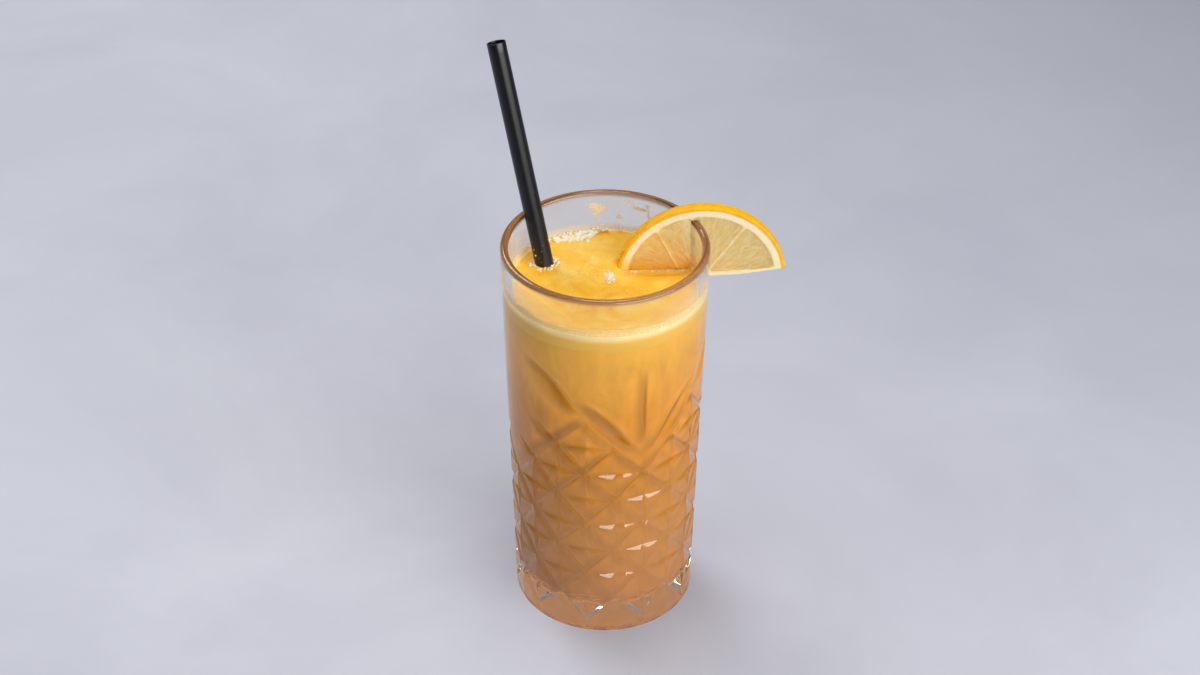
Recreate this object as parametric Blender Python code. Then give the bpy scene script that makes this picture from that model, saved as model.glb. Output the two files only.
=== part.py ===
"""Glass of smoothie: a cut-glass highball, the fruit drink with its froth, a straw and a lemon half-wheel.

Lengths in the named values are millimetres and become metres when the meshes are made.
+Z is up, -Y is the side the pattern's fan faces (a little to the right), and the origin is the
centre of the glass's foot.
"""
import math

import bmesh
import bpy
import numpy as np
from mathutils import Vector

MM = 0.001

# Glass: a straight taper from the foot to the rim
HEIGHT = 140.0
FOOT_R = 30.9
RIM_R = 34.0
FOOT_ROUND = 1.2
FLOOR_Z = 9.0
FLOOR_R = 26.7
RIM_INNER_R = 31.3
CORNER_R = 5.0
LIP_H = 1.4
RING = 40

# Cut pattern: 20 columns of half diamonds, measured in columns and half-diamond rows
COLUMNS = 20
STEPS = 4
FAN_DEG = 24.9
ROW_H = 10.9
ROW_0 = 4.4
ROWS_TOP = 10.25
GROOVE_T = 0.25
GROOVE_DEPTH = 1.0
STAR_DEPTH = 0.5
STAR_HALF_W = 0.9
STAR_LONG = 0.78
MEAN_R = 32.4
COLUMN_W = 2.0 * math.pi * MEAN_R / COLUMNS

# Drink, and the froth on it
FROTH_TOP = 124.8
FROTH_FLOOR = 119.5
MENISCUS_H = 2.6
MENISCUS_W = 1.2
GAP = 0.3

# Straw: its axis from the foot in the drink to the top in the air
STRAW_FOOT = (3.9, -21.0, 11.7)
STRAW_TOP = (-35.0, 30.75, 196.1)
STRAW_R = 3.1
STRAW_WALL = 0.35
STRAW_SIDES = 24

# Lemon half-wheel: middle of its flat cut edge, its turn about Z, its lean to the left and its tilt back
SLICE_AT = (31.5, 13.6, 117.9)
SLICE_TURN = math.radians(2.6)
SLICE_LEAN = math.radians(7.6)
SLICE_TILT = math.radians(5.2)
SLICE_R = 28.3
SLICE_RISE = 0.94
SLICE_T = 4.2
PEEL_W = 1.3
PITH_W = 1.7
FLESH_DIP = 0.25
SEGMENTS = 4
MEMBRANE_DEG = 3.0
SLICE_STEPS = 32


def clear_scene():
    """Remove whatever the scene starts with."""
    for obj in list(bpy.data.objects):
        bpy.data.objects.remove(obj, do_unlink=True)


def material(name, colour, roughness, transmission=0.0):
    """A plain Principled material in the piece's own colour."""
    mat = bpy.data.materials.new(name)
    mat.use_nodes = True
    shader = mat.node_tree.nodes["Principled BSDF"]
    shader.inputs["Base Color"].default_value = (*colour, 1.0)
    shader.inputs["Roughness"].default_value = roughness
    shader.inputs["Transmission Weight"].default_value = transmission
    mat.diffuse_color = (*colour, 1.0)
    return mat


def make_object(name, points, faces, mat=None, smooth=True):
    """A mesh object from points in millimetres, with its faces turned outwards."""
    mesh = bpy.data.meshes.new(name)
    mesh.from_pydata([(x * MM, y * MM, z * MM) for x, y, z in points], [], faces)
    bm = bmesh.new()
    bm.from_mesh(mesh)
    bmesh.ops.recalc_face_normals(bm, faces=bm.faces)
    bm.to_mesh(mesh)
    bm.free()
    mesh.update()
    obj = bpy.data.objects.new(name, mesh)
    bpy.context.scene.collection.objects.link(obj)
    if mat is not None:
        mesh.materials.append(mat)
    for poly in mesh.polygons:
        poly.use_smooth = smooth
    return obj


def cut(obj, cutter):
    """Take the cutter's volume out of the object, then remove the cutter."""
    mod = obj.modifiers.new("cut", "BOOLEAN")
    mod.operation = "DIFFERENCE"
    mod.solver = "EXACT"
    mod.object = cutter
    graph = bpy.context.evaluated_depsgraph_get()
    mesh = bpy.data.meshes.new_from_object(obj.evaluated_get(graph))
    obj.modifiers.remove(mod)
    old = obj.data
    obj.data = mesh
    bpy.data.meshes.remove(old)
    bpy.data.objects.remove(cutter, do_unlink=True)


def outer_r(z):
    """Outer radius of the uncut glass at a height."""
    return FOOT_R + (RIM_R - FOOT_R) * z / HEIGHT


def inner_r(z):
    """Inner radius of the glass's wall at a height above the floor's rounding."""
    return FLOOR_R + (RIM_INNER_R - FLOOR_R) * (z - FLOOR_Z) / (HEIGHT - FLOOR_Z)


def cavity_profile(gap, top, steps=4):
    """Radius and height from the floor's flat to a top level, kept a gap inside the glass."""
    centre_z = FLOOR_Z + CORNER_R
    centre_r = inner_r(centre_z) - CORNER_R
    rows = []
    for k in range(steps + 1):
        a = 0.5 * math.pi * k / steps
        reach = CORNER_R - gap
        rows.append((centre_r + reach * math.sin(a), centre_z - reach * math.cos(a)))
    rows.append((inner_r(top) - gap, top))
    return rows


def top_line(q):
    """Row at which the diamonds end, for a column counted from a fan (0 to 5)."""
    return np.where(q <= 2.0, 6.0 + q, 10.0 - q)


def leaf(x, z, start, end, half_w, depth, taper="both"):
    """Depth of a leaf-shaped cut between two points: deep and wide in the middle, nothing at the tips."""
    ax, az = start
    bx, bz = end
    dx, dz = bx - ax, bz - az
    length = math.hypot(dx, dz)
    s = ((x - ax) * dx + (z - az) * dz) / length ** 2
    off = np.abs((x - ax) * dz - (z - az) * dx) / length
    inside = (s >= 0.0) & (s <= 1.0)
    s = np.clip(s, 0.0, 1.0)
    width = half_w * (np.sin(math.pi * s) if taper == "both" else 1.0 - s)
    return np.where(inside, depth * np.clip(width - off, 0.0, None) / half_w, 0.0)


def cut_depth(c, m):
    """Depth of the cut pattern below the plain wall, at column c and half-diamond row m."""
    q = np.abs((c + 5.0) % 10.0 - 5.0)
    above = m - top_line(q)
    below = np.abs((c + 1.0) % 2.0 - 1.0) - m
    rise = np.abs(m - c - 2.0 * np.round((m - c) / 2.0))
    fall = np.abs(m + c - 2.0 * np.round((m + c) / 2.0))
    near = np.minimum(rise, fall)
    near = np.where(above > 0.0, above, near)
    near = np.where(below > 0.0, below, near)
    depth = GROOVE_DEPTH * np.clip(1.0 - near / GROOVE_T, 0.0, None)

    # Four-pointed star in the middle of each diamond
    p = 2.0 * np.floor((m - c) / 2.0) + 1.0
    r = 2.0 * np.floor((m + c) / 2.0) + 1.0
    dm = m - 0.5 * (p + r)
    dc = c - 0.5 * (r - p)
    inside = (above < 0.0) & (below < 0.0)
    for along, across, size in ((dc, dm, ROW_H), (dm, dc, COLUMN_W)):
        width = STAR_HALF_W * np.clip(1.0 - np.abs(along) / STAR_LONG, 0.0, None)
        star = STAR_DEPTH * np.clip(width - np.abs(across) * size, 0.0, None) / STAR_HALF_W
        depth = np.maximum(depth, np.where(inside, star, 0.0))

    # Fans and long leaves above the diamonds
    x = q * COLUMN_W
    z = m * ROW_H
    leaves = (
        ((0.0, 6.9), (0.0, 10.07), 2.1, 1.1, "both"),
        ((0.15, 6.8), (1.95, 8.8), 3.0, 1.1, "both"),
        ((2.11, 8.24), (3.83, 9.75), 3.2, 1.1, "both"),
        ((3.0, 7.0), (3.83, 7.69), 1.9, 1.0, "end"),
        ((4.0, 6.0), (4.72, 6.59), 1.9, 1.0, "end"),
    )
    for (c0, m0), (c1, m1), half_w, deep, taper in leaves:
        start = (c0 * COLUMN_W, m0 * ROW_H)
        end = (c1 * COLUMN_W, m1 * ROW_H)
        depth = np.maximum(depth, leaf(x, z, start, end, half_w, deep, taper))
    return depth


def ring_points(radius, z, count=RING):
    """A ring of points that starts on the fan's own direction."""
    out = []
    for k in range(count):
        a = math.radians(FAN_DEG) + 2.0 * math.pi * k / count
        out.append((radius * math.sin(a), -radius * math.cos(a), z))
    return out


def strip(low, high, count):
    """Quads between two rings of the same count."""
    return [(low + k, low + (k + 1) % count, high + (k + 1) % count, high + k) for k in range(count)]


def halve(fine, coarse, count):
    """Triangles between a ring of 2 x count points and a ring of count points."""
    faces = []
    for k in range(count):
        a, b, c = fine + 2 * k, fine + 2 * k + 1, fine + (2 * k + 2) % (2 * count)
        p, q = coarse + k, coarse + (k + 1) % count
        faces += [(a, b, p), (b, q, p), (b, c, q)]
    return faces


def build_glass():
    """The glass: foot, cut outer wall, rounded lip, inner wall and floor, as one closed skin."""
    points, faces, rings = [], [], []

    def add(radius, z):
        rings.append(len(points))
        points.extend(ring_points(radius, z))

    # Foot's rounding, from the flat up
    for k in range(3):
        a = 0.25 * math.pi * k
        add(FOOT_R - FOOT_ROUND * (1.0 - math.sin(a)), FOOT_ROUND * (1.0 - math.cos(a)))
    faces.append(tuple(range(RING)))
    for low, high in zip(rings, rings[1:]):
        faces += strip(low, high, RING)
    foot = rings[-1]

    # Cut wall on a grid whose points and diagonals lie on the pattern's own lines
    count = COLUMNS * STEPS
    first = -1
    last = round(ROWS_TOP * STEPS)
    start = len(points)
    for j in range(first, last + 1):
        m = j / STEPS
        z = ROW_0 + ROW_H * m
        c = np.arange(count) / STEPS
        radius = outer_r(z) - cut_depth(c, np.full(count, m))
        angle = np.radians(FAN_DEG) + 2.0 * np.pi * np.arange(count) / count
        points.extend(zip(radius * np.sin(angle), -radius * np.cos(angle), np.full(count, z)))
    faces += [tuple(reversed(f)) for f in halve(start, foot, RING)]
    period = 2 * STEPS
    for j in range(last - first):
        row = start + j * count
        for i in range(count):
            a, b = row + i, row + (i + 1) % count
            d, e = a + count, b + count
            up = (j + first - i) % period
            down = (j + first + i + 1) % period
            if min(up, period - up) <= min(down, period - down):
                faces += [(a, b, e), (a, e, d)]
            else:
                faces += [(a, b, d), (b, e, d)]
    top_row = start + (last - first) * count

    # Plain wall to the lip, the lip's half round, the inner wall and the floor
    lip_z = HEIGHT - LIP_H
    r_out, r_in = outer_r(lip_z), inner_r(lip_z)
    rings = []
    for k in range(7):
        a = math.pi * k / 6
        add(0.5 * (r_out + r_in) + 0.5 * (r_out - r_in) * math.cos(a), lip_z + LIP_H * math.sin(a))
    faces += halve(top_row, rings[0], RING)
    for radius, z in reversed(cavity_profile(0.0, lip_z)[:-1]):
        add(radius, z)
    for low, high in zip(rings, rings[1:]):
        faces += strip(low, high, RING)
    faces.append(tuple(range(rings[-1], rings[-1] + RING)))
    return make_object("glass", points, faces, material("glass", (0.86, 0.88, 0.86), 0.05, 0.9))


def lathe(name, profile, mat):
    """A closed solid of revolution from a profile that runs from its floor up to its top."""
    points, faces = [], []
    for radius, z in profile:
        points.extend(ring_points(radius, z))
    faces.append(tuple(range(RING)))
    for k in range(len(profile) - 1):
        faces += strip(k * RING, (k + 1) * RING, RING)
    top = (len(profile) - 1) * RING
    faces.append(tuple(range(top, top + RING)))
    return make_object(name, points, faces, mat)


def straw_frame():
    """The straw's two ends, its direction and two directions across it."""
    foot, top = Vector(STRAW_FOOT), Vector(STRAW_TOP)
    along = (top - foot).normalized()
    side = along.cross(Vector((0.0, 0.0, 1.0))).normalized()
    return foot, top, along, side, along.cross(side)


def straw_ring(centre, radius, sides=STRAW_SIDES):
    """A ring of points round the straw's axis."""
    foot, top, along, side, across = straw_frame()
    out = []
    for k in range(sides):
        a = 2.0 * math.pi * k / sides
        p = centre + radius * (math.cos(a) * side + math.sin(a) * across)
        out.append((p.x, p.y, p.z))
    return out


def build_straw():
    """The straw: a thin round tube, open at both ends."""
    foot, top, along, side, across = straw_frame()
    n = STRAW_SIDES
    points = []
    for centre, radius in ((foot, STRAW_R), (top, STRAW_R), (top, STRAW_R - STRAW_WALL), (foot, STRAW_R - STRAW_WALL)):
        points += straw_ring(centre, radius)
    faces = []
    for k in range(4):
        faces += strip(k * n, ((k + 1) % 4) * n, n)
    obj = make_object("straw", points, faces, material("straw", (0.012, 0.012, 0.014), 0.35))
    for poly in obj.data.polygons:
        poly.use_smooth = abs(poly.normal.dot(along)) < 0.5
    return obj


def straw_cutter():
    """A rod that holds the straw with the gap all round it, from below its foot to above the froth."""
    foot, top, along, side, across = straw_frame()
    n = STRAW_SIDES
    points = straw_ring(foot - GAP * along, STRAW_R + GAP)
    points += straw_ring(top, STRAW_R + GAP)
    faces = [tuple(range(n)), tuple(range(n, 2 * n))] + strip(0, n, n)
    return make_object("straw_cutter", points, faces)


def slice_point(x, y, t):
    """A point of the lemon slice: x along its flat edge, y up from it, t through it towards the back."""
    along = Vector((math.cos(SLICE_TURN), math.sin(SLICE_TURN), 0.0))
    level = Vector((-math.sin(SLICE_TURN), math.cos(SLICE_TURN), 0.0))
    plumb = Vector((0.0, 0.0, 1.0))
    up = math.cos(SLICE_TILT) * plumb + math.sin(SLICE_TILT) * level
    back = math.cos(SLICE_TILT) * level - math.sin(SLICE_TILT) * plumb
    u = math.cos(SLICE_LEAN) * along + math.sin(SLICE_LEAN) * up
    v = -math.sin(SLICE_LEAN) * along + math.cos(SLICE_LEAN) * up
    p = Vector(SLICE_AT) + x * u + y * v + t * back
    return (p.x, p.y, p.z)


def flesh_dip(radius, angle):
    """How far the slice's face lies below the pith: the flesh between the membranes dips."""
    core = 2.2
    rim = SLICE_R - PEEL_W - PITH_W
    step = math.pi / SEGMENTS
    off = abs(angle - step * round(angle / step))
    edge = math.radians(MEMBRANE_DEG)
    if radius <= core or radius >= rim or off < edge:
        return 0.0
    return FLESH_DIP


def build_slice():
    """The lemon half-wheel: peel, pith and four segments as relief, slit where it sits on the rim."""
    rim = SLICE_R - PEEL_W - PITH_W
    radii = [2.0, 2.6, 0.5 * (rim + 2.6), rim - 0.5, rim + 0.1, SLICE_R - 0.5 * PEEL_W, SLICE_R]
    step = math.pi / SEGMENTS
    edge = math.radians(MEMBRANE_DEG)
    angles = []
    for k in range(SEGMENTS):
        angles.append(step * k)
        angles.append(step * k + 0.7 * edge)
        for f in (0.06, 0.28, 0.5, 0.72, 0.94):
            angles.append(step * k + edge + f * (step - 2.0 * edge))
        angles.append(step * (k + 1) - 0.7 * edge)
    angles.append(math.pi)
    points, faces = [], []
    count = len(angles)
    for sign in (-1.0, 1.0):
        points.append(slice_point(0.0, 0.0, sign * 0.5 * SLICE_T))
        for j, radius in enumerate(radii):
            half = 0.5 * SLICE_T
            if j == len(radii) - 1:
                half -= 0.6
            for angle in angles:
                t = sign * (half - flesh_dip(radius, angle))
                points.append(slice_point(radius * math.cos(angle), SLICE_RISE * radius * math.sin(angle), t))
    half_n = 1 + count * len(radii)
    for side in (0, 1):
        base = side * half_n
        for i in range(count - 1):
            faces.append((base, base + 1 + i, base + 2 + i))
            for j in range(len(radii) - 1):
                a = base + 1 + j * count + i
                faces.append((a, a + 1, a + 1 + count, a + count))
    outer = 1 + (len(radii) - 1) * count
    for i in range(count - 1):
        a, b = outer + i, outer + i + 1
        faces.append((a, b, b + half_n, a + half_n))
    right = [1 + j * count for j in range(len(radii))]
    left = [a + count - 1 for a in right]
    line = list(reversed(left)) + [0] + right
    for a, b in zip(line, line[1:]):
        faces.append((a, b, b + half_n, a + half_n))
    obj = make_object("lemon_slice", points, faces, material("lemon_slice", (0.86, 0.62, 0.16), 0.4))
    cut(obj, rim_cutter())
    return obj


def rim_cutter():
    """The glass's wall with the gap round it, near the slice: it makes the slit the slice sits on."""
    z_low, z_high = 100.0, HEIGHT + GAP
    points = ring_points(outer_r(z_low) + GAP, z_low, 2 * RING)
    points += ring_points(outer_r(HEIGHT) + GAP, z_high, 2 * RING)
    points += ring_points(inner_r(HEIGHT) - GAP, z_high, 2 * RING)
    points += ring_points(inner_r(z_low) - GAP, z_low, 2 * RING)
    faces = []
    n = 2 * RING
    for k in range(4):
        faces += strip(k * n, ((k + 1) % 4) * n, n)
    return make_object("rim_cutter", points, faces)


def slice_cutter():
    """The slice's outline with the gap round it, without the slit: it makes room in the drink."""
    radius = SLICE_R + GAP
    half = 0.5 * SLICE_T + GAP
    outline = [(-radius, -GAP), (radius, -GAP)]
    for k in range(1, SLICE_STEPS):
        a = math.pi * k / SLICE_STEPS
        outline.append((radius * math.cos(a), SLICE_RISE * radius * math.sin(a)))
    n = len(outline)
    points = [slice_point(x, y, -half) for x, y in outline]
    points += [slice_point(x, y, half) for x, y in outline]
    faces = [tuple(range(n)), tuple(range(n, 2 * n))] + strip(0, n, n)
    return make_object("slice_cutter", points, faces)


def build_smoothie():
    """The drink: it fills the glass up to the froth, with room for the straw and the slice."""
    profile = cavity_profile(GAP, FROTH_FLOOR - GAP)
    obj = lathe("smoothie", profile, material("smoothie", (0.80, 0.33, 0.06), 0.45))
    cut(obj, straw_cutter())
    cut(obj, slice_cutter())
    return obj


def build_froth():
    """The froth: a layer with a raised edge where it clings to the glass."""
    wall_low = inner_r(FROTH_FLOOR) - GAP
    edge_z = FROTH_TOP + MENISCUS_H
    wall_high = inner_r(edge_z) - GAP
    profile = [
        (wall_low, FROTH_FLOOR),
        (wall_high, edge_z),
        (wall_high - 0.35 * MENISCUS_W, FROTH_TOP + 0.3 * MENISCUS_H),
        (wall_high - MENISCUS_W, FROTH_TOP),
    ]
    obj = lathe("froth", profile, material("froth", (0.93, 0.56, 0.08), 0.5))
    cut(obj, straw_cutter())
    cut(obj, slice_cutter())
    return obj


def main():
    """Build every piece of the glass of smoothie."""
    clear_scene()
    for obj in (build_glass(), build_smoothie(), build_froth(), build_straw(), build_slice()):
        mesh = obj.data
        mesh.calc_loop_triangles()
        print(obj.name, "triangles", len(mesh.loop_triangles), "materials", [m.name for m in mesh.materials])


main()
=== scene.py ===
# %% [markdown]
# # A cut-glass tumbler of smoothie
#
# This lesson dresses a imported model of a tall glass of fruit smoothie: the cut glass, the drink and its
# froth, a straight straw and a lemon half-wheel on the rim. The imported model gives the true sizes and
# places. Each step first says what the piece is, how it could be made and why one way was chosen.

import math

import bpy
import numpy as np
from mathutils import Matrix, Vector


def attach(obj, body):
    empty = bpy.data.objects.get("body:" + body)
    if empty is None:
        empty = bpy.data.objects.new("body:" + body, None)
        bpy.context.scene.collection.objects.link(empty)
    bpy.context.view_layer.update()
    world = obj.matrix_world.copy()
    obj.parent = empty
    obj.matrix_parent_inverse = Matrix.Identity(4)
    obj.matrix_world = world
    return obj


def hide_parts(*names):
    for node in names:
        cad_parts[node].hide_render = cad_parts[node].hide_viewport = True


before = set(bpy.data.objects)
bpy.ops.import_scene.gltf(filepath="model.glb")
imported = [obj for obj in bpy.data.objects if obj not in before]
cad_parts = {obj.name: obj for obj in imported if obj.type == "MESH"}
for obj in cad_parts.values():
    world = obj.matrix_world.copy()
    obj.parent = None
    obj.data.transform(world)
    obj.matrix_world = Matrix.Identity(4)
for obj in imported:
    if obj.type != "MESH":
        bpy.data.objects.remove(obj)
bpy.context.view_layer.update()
print("solids:", sorted(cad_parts))

# %% [markdown]
# ## Sizes
#
# All sizes are in millimetres and become metres when a mesh is made. They are the real glass's own
# sizes, and each new piece stays inside the box of the solids.

# %% Sizes of the glass, the drink, the straw and the slice
MM = 0.001

HEIGHT, LIP_H = 140.0, 1.4
FOOT_R, FOOT_ROUND, RIM_R = 30.9, 1.2, 33.975
FLOOR_Z, FLOOR_R, CORNER_R, RIM_INNER_R = 9.0, 26.7, 5.0, 31.3

COLUMNS, FAN_DEG = 20, 24.9
ROW_0, ROW_H = 4.4, 10.9
COLUMN_W = 2.0 * math.pi * 32.4 / COLUMNS

FROTH_TOP, FROTH_FLOOR = 124.8, 119.5

STRAW_FOOT = np.array([3.9, -21.0, 11.7])
STRAW_TOP = np.array([-35.0, 30.75, 196.1])
STRAW_R, STRAW_WALL = 3.1, 0.35

SLICE_AT = np.array([31.5, 13.6, 117.9])
SLICE_TURN, SLICE_LEAN, SLICE_TILT = (math.radians(v) for v in (2.6, 7.6, 5.2))
SLICE_R, SLICE_RISE, SLICE_T = 28.29, 0.94, 4.2


def outer_r(z):
    """Outer radius of the plain glass: a straight line from the foot's radius to the rim's."""
    return FOOT_R + (RIM_R - FOOT_R) * z / HEIGHT


def inner_r(z):
    """Inner radius of the wall: a straight line from the floor's radius to the rim's inner one."""
    return FLOOR_R + (RIM_INNER_R - FLOOR_R) * (z - FLOOR_Z) / (HEIGHT - FLOOR_Z)


print("wall at the rim in mm:", RIM_R - RIM_INNER_R)

# %% [markdown]
# ## Meshes from grids of points
#
# Nearly every piece here is a surface of two parameters. One helper turns a grid of points (rings one
# above another) into a mesh: quads between neighbouring rings, and a fan to a middle point where a
# surface has to close. Working on whole arrays keeps this quick, even with many thousand points.

# %% Grid and mesh helpers


def new_mesh(name, points, faces, mat, smooth=True):
    """A mesh object at the origin from points in millimetres (n x 3) and lists of corner numbers."""
    mesh = bpy.data.meshes.new(name)
    mesh.from_pydata((np.asarray(points) * MM).tolist(), [], faces)
    mesh.polygons.foreach_set("use_smooth", np.full(len(mesh.polygons), smooth))
    if mat is not None:
        mesh.materials.append(mat)
    mesh.update()
    obj = bpy.data.objects.new(name, mesh)
    bpy.context.scene.collection.objects.link(obj)
    return obj


def grid_quads(rows, cols, wrap=True):
    """Corner numbers of the quads of a rows x cols grid; wrap joins the last column to the first."""
    i = np.arange(rows - 1)[:, None] * cols
    j = np.arange(cols if wrap else cols - 1)[None, :]
    k = (j + 1) % cols
    return np.stack([i + j, i + k, i + cols + k, i + cols + j], -1).reshape(-1, 4)


def halves(quads, rising):
    """Quads cut in two triangles each: from lower left to upper right where rising, else the other way."""
    a, b, c, d = quads.T
    first = np.where(rising, [a, b, c], [a, b, d]).T
    second = np.where(rising, [a, c, d], [b, c, d]).T
    return np.concatenate([first, second]).tolist()


def closed_rings(name, grid, mat, first_cut=0, rising=()):
    """A closed skin from rings of points (rows x cols x 3) with a middle point at each end.

    The quads from number first_cut on are halved, each along the diagonal that rising asks for.
    """
    rows, cols = grid.shape[:2]
    points = np.concatenate([grid.reshape(-1, 3), [grid[0].mean(0), grid[-1].mean(0)]])
    quads = grid_quads(rows, cols)
    last_cut = first_cut + len(rising)
    faces = quads[:first_cut].tolist()
    if last_cut > first_cut:
        faces += halves(quads[first_cut:last_cut], rising)
    faces += quads[last_cut:].tolist()
    low, top = rows * cols, (rows - 1) * cols
    j = np.arange(cols)
    k = (j + 1) % cols
    faces += np.stack([np.full(cols, low), k, j], -1).tolist()
    faces += np.stack([np.full(cols, low + 1), j + top, k + top], -1).tolist()
    return new_mesh(name, points, faces, mat)


def turned(radius, angles, z):
    """Rings from radii and heights, given for each row or each point: x = r sin a, y = -r cos a."""
    radius, z = (np.reshape(v, (len(v), -1)) + 0.0 * angles for v in (radius, z))
    return np.stack([radius * np.sin(angles), -radius * np.cos(angles), z], -1)


def around(count):
    """Even angles round the axis, from the column of the pattern that faces the viewer on."""
    return np.radians(FAN_DEG) + 2.0 * np.pi * np.arange(count) / count


def unit(vectors):
    """Vectors brought to a length of 1."""
    return vectors / np.linalg.norm(vectors, axis=-1, keepdims=True)


def report(obj):
    """Print how many triangles a piece has."""
    obj.data.calc_loop_triangles()
    print(obj.name, "triangles:", len(obj.data.loop_triangles))


# %% [markdown]
# ## Materials from nodes
#
# Every finish is worked out by nodes on the object's own coordinates, so it stays on the piece from
# any side. A small class keeps the node code short: each of its methods adds one node.

# %% Colour and node helpers


def srgb(r, g, b):
    """A colour as seen on screen (0 to 255) as the linear colour that nodes take."""
    c = np.array([r, g, b]) / 255.0
    linear = np.where(c <= 0.04045, c / 12.92, ((c + 0.055) / 1.055) ** 2.4)
    return (*linear.tolist(), 1.0)


def grey(level):
    """A linear grey."""
    return (level, level, level, 1.0)


class Finish:
    """The nodes of one material. Wherever a value goes in, it may be a number or another node's socket."""

    def __init__(self, name, owner=None):
        self.owner = owner or bpy.data.materials.new(name)
        self.owner.use_nodes = True
        self.nodes = self.owner.node_tree.nodes

    def fill(self, node, values):
        """Link or set a node's inputs, which are given by name or number."""
        for key, value in values.items():
            if isinstance(value, bpy.types.NodeSocket):
                self.owner.node_tree.links.new(value, node.inputs[key])
            else:
                node.inputs[key].default_value = value
        return node

    def add(self, kind, values=None, **settings):
        """Add a node with its settings and fill its inputs."""
        node = self.nodes.new("ShaderNode" + kind)
        for key, value in settings.items():
            setattr(node, key, value)
        return self.fill(node, values or {})

    def where(self):
        """The piece's own coordinates, in metres."""
        return self.add("TexCoord").outputs["Object"]

    def split(self, vector):
        """A vector's parts X, Y and Z."""
        return self.add("SeparateXYZ", {0: vector}).outputs

    def join(self, x, y):
        """A vector from two numbers."""
        return self.add("CombineXYZ", {0: x, 1: y}).outputs[0]

    def length(self, vector):
        """How long a vector is."""
        return self.add("VectorMath", {0: vector}, operation="LENGTH").outputs["Value"]

    def ramp(self, factor, *stops):
        """A colour ramp of (place, colour) stops."""
        node = self.add("ValToRGB", {"Fac": factor})
        elements = node.color_ramp.elements
        elements[0].position, elements[0].color = stops[0]
        elements[1].position, elements[1].color = stops[-1]
        for place, colour in stops[1:-1]:
            elements.new(place).color = colour
        return node.outputs["Color"]

    def noise(self, where, scale, detail=3.0, rough=0.5, warp=0.0):
        """A noise value between 0 and 1 with a scale in spots per metre."""
        values = {"Vector": where, "Scale": scale, "Detail": detail, "Roughness": rough, "Distortion": warp}
        return self.add("TexNoise", values).outputs["Fac"]

    def mix(self, factor, a, b, blend="MIX", clamp=False):
        """Two colours mixed by a factor."""
        settings = {"data_type": "RGBA", "blend_type": blend, "clamp_result": clamp}
        return self.add("Mix", {0: factor, 6: a, 7: b}, **settings).outputs[2]

    def sum(self, kind, *values):
        """One sum of numbers."""
        return self.add("Math", dict(enumerate(values)), operation=kind).outputs[0]

    def times(self, a, b):
        """Two numbers multiplied."""
        return self.sum("MULTIPLY", a, b)

    def remap(self, value, low, high, at_low=0.0, at_high=1.0, ease="LINEAR"):
        """A number that goes from at_low to at_high while the value goes from low to high."""
        values = {"Value": value, "From Min": low, "From Max": high, "To Min": at_low, "To Max": at_high}
        return self.add("MapRange", values, interpolation_type=ease).outputs[0]

    def between(self, value, low, high):
        """0 at low, 1 at high, with a smooth step between them."""
        return self.remap(value, low, high, ease="SMOOTHSTEP")

    def bump(self, height, strength, distance):
        """Small relief from a height value, for the shader's normal."""
        return self.add("Bump", {"Height": height, "Strength": strength, "Distance": distance}).outputs[0]

    def shade(self, **values):
        """Fill the Principled shader's inputs, with _ in place of a space, and give back the material."""
        self.fill(self.nodes["Principled BSDF"], {key.replace("_", " "): v for key, v in values.items()})
        return self.owner

    def see_through(self, factor, colour):
        """Make the surface plainly transparent where the factor is 1."""
        clear = self.add("BsdfTransparent", {"Color": colour}).outputs[0]
        both = self.add("MixShader", {0: factor, 1: self.nodes["Principled BSDF"].outputs[0], 2: clear})
        self.fill(self.nodes["Material Output"], {"Surface": both.outputs[0]})


# %% [markdown]
# ## The cut glass
#
# The tumbler is pressed glass in a traditional cut pattern: diamonds between crossing V-grooves, a
# four-pointed star in each diamond, and above them fans of long leaf-shaped cuts. It could be made with
# Booleans, groove by groove, but hundreds of cuts on a curved wall are slow and leave ragged meshes.
# Instead the wall is one grid, 20 columns round and half-diamond rows up, and the depth of the cuts
# is a formula in column and row. The grid's lines and diagonals then fall exactly on the grooves.

# %% Depth of the cut pattern
STEPS = 18
ROUND = COLUMNS * STEPS
FIRST_ROW, LAST_ROW = -4, 185
GROOVE_HALF, GROOVE_DEPTH, GROOVE_SOFT = 4.0 / STEPS, 1.0, 0.02
STAR_HALF, STAR_LONG, STAR_DEPTH = 3.0 / STEPS, 0.72, 1.12
FLATNESS = 0.7
# Each leaf: start and end as (column, row), half width, depth, and whether it tapers at both ends.
LEAVES = (
    ((0.0, 6.9), (0.0, 10.07), 2.3, 1.6, True),
    ((0.15, 6.8), (1.95, 8.8), 3.0, 1.65, True),
    ((2.11, 8.24), (3.95, 9.88), 3.2, 1.65, True),
    ((3.0, 7.0), (3.83, 7.69), 1.9, 1.3, False),
    ((4.0, 6.0), (4.72, 6.59), 1.9, 1.3, False),
)


def pattern_grid(first, stop, shift=0.0, fine=1):
    """Columns and rows of the pattern on a grid of first to stop rows, fine times as fine as the mesh."""
    c = (np.arange(fine * ROUND) + shift) / (fine * STEPS)
    return np.meshgrid(c, (np.arange(first, stop) + shift) / (fine * STEPS))


def vee(t):
    """A V-groove with a slightly rounded bottom and edges: 1 in the middle, 0 past half its width."""
    x = 1.0 - (np.sqrt(t * t + GROOVE_SOFT ** 2 * GROOVE_HALF) - GROOVE_SOFT * 0.5) / GROOVE_HALF
    return 0.5 * (x + np.sqrt(x * x + 0.004)) - 0.0005


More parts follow.
